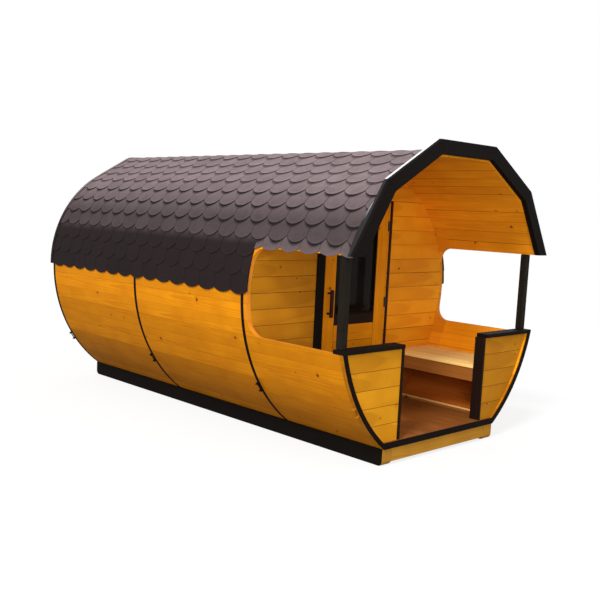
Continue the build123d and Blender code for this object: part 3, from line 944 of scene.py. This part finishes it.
def build_walls(m):
    heights = (lower_wall_top, opening_sill_height, belly_height, eave_height)
    low_top, sill, belly, eave = (outline.find(height) for height in heights)
    eave_top = outline.find(eave_height + eave_wall_rise)
    split = outline.find(slope_split)
    pitch = (low_top - sill) / 3
    cabin_top = low_top - math.ceil((low_top - belly) / pitch) * pitch
    porch_tones = [m["golden_pine_rim"], m["porch_lit_pine"]]
    cabin_tones = [m["golden_pine_rim"], m["shaded_pine"]]
    for word, side in sides:
        low_cells = outline_cells(low_top, outline.length, side)
        low_cells = split_at(split_at(low_cells, partition_front), half_wall_front)
        porch_cells = outline_cells(sill, low_top, side)
        cabin_cells = outline_cells(cabin_top, low_top, side)
        eave_cells = outline_cells(eave_top, belly, side)
        for piece, node, cells, paint, extra in (
            ("lower_staves", "lower_wall", low_cells, porch_paint, [m["brown_painted_shade"]]),
            ("porch_staves", "porch_wall", porch_cells, inner_paint, porch_tones),
            ("cabin_staves", "cabin_wall", cabin_cells, inner_paint, cabin_tones),
            ("eave_staves", "cabin_eave", eave_cells, inner_paint, cabin_tones),
        ):
            boards(
                f"{piece}_{word}", f"{node}_{word}", cells, m["golden_pine"], m["golden_pine_seam"],
                groove=seam_groove, paint=paint, extra=extra,
            )
        for level, start, end in (("lower", split, eave), ("upper", flat_half_width, split)):
            piece, node = f"{level}_slope_staves_{word}", f"roof_{level}_slope_{word}"
            inside_boards(m, piece, node, outline_cells(start, end, side))
    top_cells = axis_cells(X, -flat_half_width, flat_half_width, flat_columns, Y, X)
    inside_boards(m, "top_staves", "roof_top", top_cells)


def inside_boards(m, name, node, cells, **rest):
    """Boards in the pine of the ceiling and partition, brightened as painted light for the inside, with
    dark joints.
    """
    boards(name, node, cells, m["shaded_pine"], m["golden_pine_joint"], **rest)


def build_partitions(m):
    low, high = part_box("partition_left")
    rows = round((high.z - low.z) / board_cover)
    cells = axis_cells(Z, low.z, low.z + rows * board_cover, rows, X, Z)
    for node in ("partition_left", "partition_right", "partition_over_door", "rear_wall"):
        tones = [m["brown_painted_shade"], m["painted_shade_pine"]]
        inside_boards(m, f"{node}_boards", node, cells, paint=partition_paint, extra=tones)
    cells = axis_cells(Z, floor_top, floor_top + half_wall_height, half_wall_rows, X, Z)
    # The right half wall takes a darker pine as painted shade
    boards(
        "half_wall_boards", "half_walls", cells, m["front_pine"], m["golden_pine_joint"],
        paint=right_paint, extra=[m["painted_shade_pine"]],
    )


def whole(name, node, along, across, middle, shade, slot, edge, **rest):
    """A piece that isn't sawn, whose grain runs along one axis from its middle."""
    boards(name, node, [Cell([], along, across, middle)], shade, slot=slot, edge=edge, **rest)


def build_front(m):
    black, olive, brown = (m[f"{colour}_stain"] for colour in ("black", "olive_black", "brown_black"))
    for name, node, along, across, height, shade, edge in (
        ("rails", "porch_rails", X, Y, 0.87, black, 0.004),
        ("posts", "porch_posts", Z, X, 1.2, olive, 0.006),
        ("entrance_edges", "entrance_trims", Z, Y, 0.5, brown, 0.002),
        ("hoop_edges", "front_hoop_trims", Z, X, 0.5, black, 0.003),
        ("sill_edge", "front_sill_strip", X, Z, 0.15, black, 0.003),
        ("fascia_top_board", "front_fascia_top", X, Z, 2.35, black, 0.003),
    ):
        whole(name, node, along, across, (0, front, height), shade, black_slot, edge)
    for level, ends in (("upper", roof_corners[:2]), ("lower", roof_corners[1:])):
        boards(
            f"fascia_{level}_boards", f"front_fascia_{level}", fascia_cells(*ends), black,
            slot=black_slot, edge=0.003, groove=fascia_groove,
        )
    boards(
        "rear_fascia_boards", "rear_fascia", rear_cells(), black, black,
        slot=black_slot, edge=0.003, groove=0.0015, paint=rear_edge_paint, extra=[m["faded_edge"]],
    )


def fascia_cells(upper, lower):
    """One cell a side, with the grain along the fascia board."""
    cells = []
    for side in (-1, 1):
        start, end = (Vector((side * x, front, z)) for x, z in (upper, lower))
        along = (end - start).normalized()
        cells.append(Cell([((0, 0, 0), (side, 0, 0))], along, (-along.z, 0, along.x), (start + end) / 2))
    return cells


def rear_cells():
    """The rear fascia's boards, sawn apart square to the roof."""
    count = 4
    first = 0.36
    reach = outline.find(belly_height) - first
    cells, top_planes = [], []
    for side in (-1, 1):
        for index in range(count):
            planes = [outline_place(first + reach * index / count, side)]
            if index < count - 1:
                place, tangent = outline_place(first + reach * (index + 1) / count, side)
                planes.append((place, -tangent))
            place, along = outline_place(first + reach * (index + 0.5) / count, side)
            cells.append(Cell(planes, along, (-along.z, 0, along.x), (place.x, back, place.z)))
        place, tangent = outline_place(first, side)
        top_planes.append((place, -tangent))
    cells.append(Cell(top_planes, X, Z, (0, back, 2.3)))
    return cells


def build_base(m):
    black, bare = m["black_stain"], m["bare_pine"]
    stain = dict(paint=runner_paint, extra=[bare])
    whole("runners", "base_runners", Y, Z, (0, 0, 0.065), black, black_slot, 0.004, **stain)
    whole("rim_board", "front_rim_board", X, Z, (0, front, 0.08), bare, "stained_pine", 0.003)
    whole("beams", "cross_beams", X, Z, (0, 0, 0.08), m["golden_pine"], "stained_pine", 0.003)
    low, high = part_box("porch_floor")
    for node in ("porch_floor", "cabin_floor"):
        cells = axis_cells(X, low.x, high.x, floor_columns, Y, X)
        boards(f"{node}_boards", node, cells, m["brown_deck"], slot="brown_stained_wood")
    middle = (0, partition_front, 1.0)
    stain = dict(paint=right_paint, extra=[m["handle_wood"]])
    whole("casings", "doorway_casings", Z, X, middle, black, black_slot, 0.002, **stain)


def build_bench(m):
    pale, brown, slot = m["bench_pale_sunlit"], m["bench_brown"], "bench_wood"
    # The seat's pale wood is partly painted sunlight
    whole("bench_slats", "bench_seat", Y, X, (0.8, -1.5, 0.6), pale, slot, 0.004)
    whole("bench_front", "bench_apron", Y, Z, (0.53, -1.5, 0.53), brown, slot, 0.003)
    whole("bench_supports", "bench_bearers", X, Z, (0.8, -1.5, 0.57), brown, slot, 0.003)
    stain = dict(paint=batten_paint, extra=[m["brown_deck"]])
    whole("edge_batten", "floor_batten", Y, X, (0.75, -1.5, 0.19), pale, "stained_pine", 0.003, **stain)


def door_cells():
    """Stiles beside the window, the rail over it, and the boards below it."""
    cells, between = [], []
    for side in (-1, 1):
        edge = (side * glass_half_width, 0, 0)
        cells.append(Cell([(edge, (side, 0, 0))], Z, X, (side * 0.32, partition_front, 1.0)))
        between.append((edge, (-side, 0, 0)))
    cells.append(Cell([*between, ((0, 0, glass_top), Z)], X, Z, (0, partition_front, 1.9)))
    bottom = floor_top + door_gap
    panel = glass_bottom - dark_board_height - bottom
    heights = [bottom + panel * index / 5 for index in range(6)] + [glass_bottom]
    for index, (start, end) in enumerate(zip(heights, heights[1:])):
        planes = [*between, ((0, 0, end), (0, 0, -1))]
        if index:
            planes.append(((0, 0, start), Z))
        cells.append(Cell(planes, X, Z, (0, partition_front, (start + end) / 2)))
    return cells


def build_door(m):
    boards(
        "door_boards", "door_leaf", door_cells(), m["golden_pine"], m["golden_pine_joint"],
        body="door", paint=window_board_paint, extra=[m["brown_black_stain"]],
    )
    beads = (0, partition_front, 1.3)
    handle = (-0.34, -1.07, 1.08)
    whole("glass_beads", "door_beads", Z, X, beads, m["black_stain"], black_slot, 0.0015, body="door")
    whole("handle_bar", "door_handle", Z, X, handle, m["handle_wood"], black_slot, 0.001, body="door")


def scallop(y, shift, depth):
    """How far the round edge of a row stands back from its tips."""
    half = shingle_width / 2
    radius = (half * half + depth * depth) / (2 * depth)
    across = ((y - front + shift) / shingle_width) % 1.0 * 2 - 1
    return radius - math.sqrt(radius * radius - (across * half) ** 2)


def row_spans(first, shift):
    """Where the tabs of a row begin and end, with short leftovers joined to their neighbours."""
    spans = []
    for index in range(math.ceil(body_length / shingle_width) + 1):
        start = front + index * shingle_width - shift
        start, end = max(start, first), min(start + shingle_width, back)
        if end - start > 0.001:
            spans.append([start, end])
    if spans[0][1] - spans[0][0] < shortest_tab:
        spans[1][0] = spans.pop(0)[0]
    if spans[-1][1] - spans[-1][0] < shortest_tab:
        spans[-2][1] = spans.pop()[1]
    return spans


def shaded_mesh(*names):
    """An empty mesh, and its layers of numbers for the shingles' shader."""
    bm = bmesh.new()
    return bm, {name: bm.verts.layers.float.new(name) for name in names}


def add_point(bm, layers, place, **numbers):
    vert = bm.verts.new(place)
    for name, number in numbers.items():
        vert[layers[name]] = number
    return vert


def cover_point(side, distance, lift, y, straight=math.inf):
    """Point over the staves, which follows their curve and then goes straight on."""
    followed = min(distance, straight)
    point, tangent = outline.at(followed)
    point = point + tangent * (distance - followed)
    point = point + Vector((-tangent.y, tangent.x)) * lift
    return Vector((side * point.x, y, point.y))


def add_tab(bm, layers, side, tip, span, shift, depth, cover, flare=False):
    """One round tab of a shingle, as a thin closed plate that leans on the row below.

    span is its stretch along the barrel. cover is how far the tips of the row above lie from its
    own tip, and how far that row is shifted.
    """
    columns, rows = 8, 5
    tone = porch_edge_tone if flare else rng.random()
    length = min(tab_length, tip - 0.001)
    straight = outline.find(eave_height + 0.02) if flare else math.inf
    start, end = span[0] + tab_gap, span[1] - tab_gap
    curl = rng.uniform(-0.0003, 0.0002)
    sheets = []
    for lift in (0.0, tab_thickness):
        grid = []
        for j in range(rows + 1):
            line = []
            for i in range(columns + 1):
                y = start + (end - start) * i / columns
                rise = scallop(y, shift, depth)
                up = rise + (length - rise) * (j / rows)
                height = max(tab_lift - tab_lean * up, 0.0004) + lift + curl * (1 - j / rows)
                place = cover_point(side, tip - up, height, y, straight)
                # Distance from the edge of the row above, which sets its painted shadow
                under = cover[0] + lap_shade_depth * scallop(y, cover[1], tab_depth) - up
                line.append(add_point(bm, layers, place, tone=tone, under=under, lip=up - rise))
            grid.append(line)
        sheets.append(grid)
    low, high = sheets
    for j in range(rows):
        for i in range(columns):
            for grid in sheets:
                face = bm.faces.new((grid[j][i], grid[j][i + 1], grid[j + 1][i + 1], grid[j + 1][i]))
                face.smooth = True
    for i in range(columns):
        for j in (0, rows):
            bm.faces.new((low[j][i], low[j][i + 1], high[j][i + 1], high[j][i]))
    for j in range(rows):
        for i in (0, columns):
            bm.faces.new((low[j][i], low[j + 1][i], high[j + 1][i], high[j][i]))


def build_shingles(m):
    """Rows of tabs from the lowest up, and one more row over the porch's side opening."""
    tip_cabin = outline.find(cover_cabin_edge - scallop_depth)
    count = math.ceil((tip_cabin - top_tip_distance) / row_spacing)
    tips = [tip_cabin - row * row_spacing for row in range(count)]
    half = shingle_width / 2
    for word, side in sides:
        bm, layers = shaded_mesh("tone", "under", "lip")
        tip_porch = outline.find(eave_height + porch_tip_rise[word])
        above = next(row for row, tip in enumerate(tips) if tip < tip_porch - 0.05)
        for row, tip in enumerate(tips):
            shift = half if row % 2 else 0.0
            depth = tab_depth if row else scallop_depth
            for span in row_spans(front if row >= above else cover_rim, shift):
                add_tab(bm, layers, side, tip, span, shift, depth, (row_spacing, half - shift))
        cover = (tip_porch - tips[above], half if above % 2 else 0.0)
        shift = porch_row_shift
        for start, end in row_spans(front, shift):
            if start < cover_rim - 0.05:
                span = (start, min(end, cover_rim))
                add_tab(bm, layers, side, tip_porch, span, shift, scallop_depth, cover, flare=True)
        finish_shingles(m, f"shingles_{word}", bm)


def finish_shingles(m, name, bm):
    bmesh.ops.recalc_face_normals(bm, faces=bm.faces)
    finish_piece(name, bm, [m["bitumen_shingle"]], "bitumen_shingle", "building", ["shingle_cover"])


def build_felt(m):
    """Underlay beneath the tabs, which shows in the slots between them."""
    bm, layers = shaded_mesh("tone", "under")
    steps = 60
    strips = ((front, cover_rim, cover_porch_edge), (cover_rim, back, cover_cabin_edge))
    for side in (-1, 1):
        for first, last, edge in strips:
            length = outline.find(edge)
            rows = []
            for step in range(steps + 1):
                places = [
                    cover_point(side, length * step / steps, lift, y)
                    for lift in (0.0001, 0.0006) for y in (first, last)
                ]
                # The felt sits in the darkest painted shadow of the tabs over it
                rows.append([add_point(bm, layers, place, tone=0.0, under=0.004) for place in places])
            for a, b in zip(rows, rows[1:]):
                for p, q in ((0, 1), (1, 3), (3, 2), (2, 0)):
                    bm.faces.new((a[p], a[q], b[q], b[p])).smooth = True
            for line in (rows[0], rows[-1]):
                bm.faces.new((line[0], line[1], line[3], line[2]))
    finish_shingles(m, "roof_felt", bm)


def build_caps(m):
    """Caps along the middle of the flat top, each lapped over the next."""
    bm, layers = shaded_mesh("tone", "under", "lip")
    count = round(body_length / row_spacing)
    pitch = body_length / count
    top = outline.points[0].y
    for index in range(count):
        start = front + index * pitch
        end = min(start + 2 * pitch, back)
        tone = rng.random()
        corners = []
        for lift in (0.0, tab_thickness):
            for x in (-cap_half_width, 0.0, cap_half_width):
                fall = cap_crown * abs(x) / cap_half_width
                for y, rise in ((start, tab_lift), (end, tab_thickness)):
                    place = (x, y, top + rise + lift - fall)
                    # Distance from the edge of the next cap over it, which sets that cap's painted shadow
                    under = pitch + start - y
                    corners.append(add_point(bm, layers, place, tone=tone, under=under, lip=y - start))
        low, high = corners[:6], corners[6:]
        for sheet in (low, high):
            for k in (0, 2):
                bm.faces.new((sheet[k], sheet[k + 1], sheet[k + 3], sheet[k + 2]))
        for a, b in ((0, 2), (2, 4), (4, 5), (5, 3), (3, 1), (1, 0)):
            bm.faces.new((low[a], low[b], high[b], high[a]))
    finish_shingles(m, "roof_caps", bm)


def dress_nodes(m):
    """Materials for the CAD nodes that show as they are."""
    given = {node: "black_steel" for node in nodes if node.endswith("_band")}
    given.update(
        front_band="tan_steel", front_flashing="flashing_metal", door_glass="dark_glass",
        frame_hinges="hinge_steel", door_hinges="hinge_steel",
    )
    for node, shade in given.items():
        nodes[node].data.materials.clear()
        nodes[node].data.materials.append(m[shade])


place_camera()
materials = build_materials()
build_floor()
build_world()
build_light()
for build in (
    build_walls, build_partitions, build_front, build_base, build_bench, build_door,
    build_shingles, build_felt, build_caps, dress_nodes,
):
    build(materials)
bpy.context.scene.view_settings.view_transform = "Standard"
bpy.context.view_layer.update()
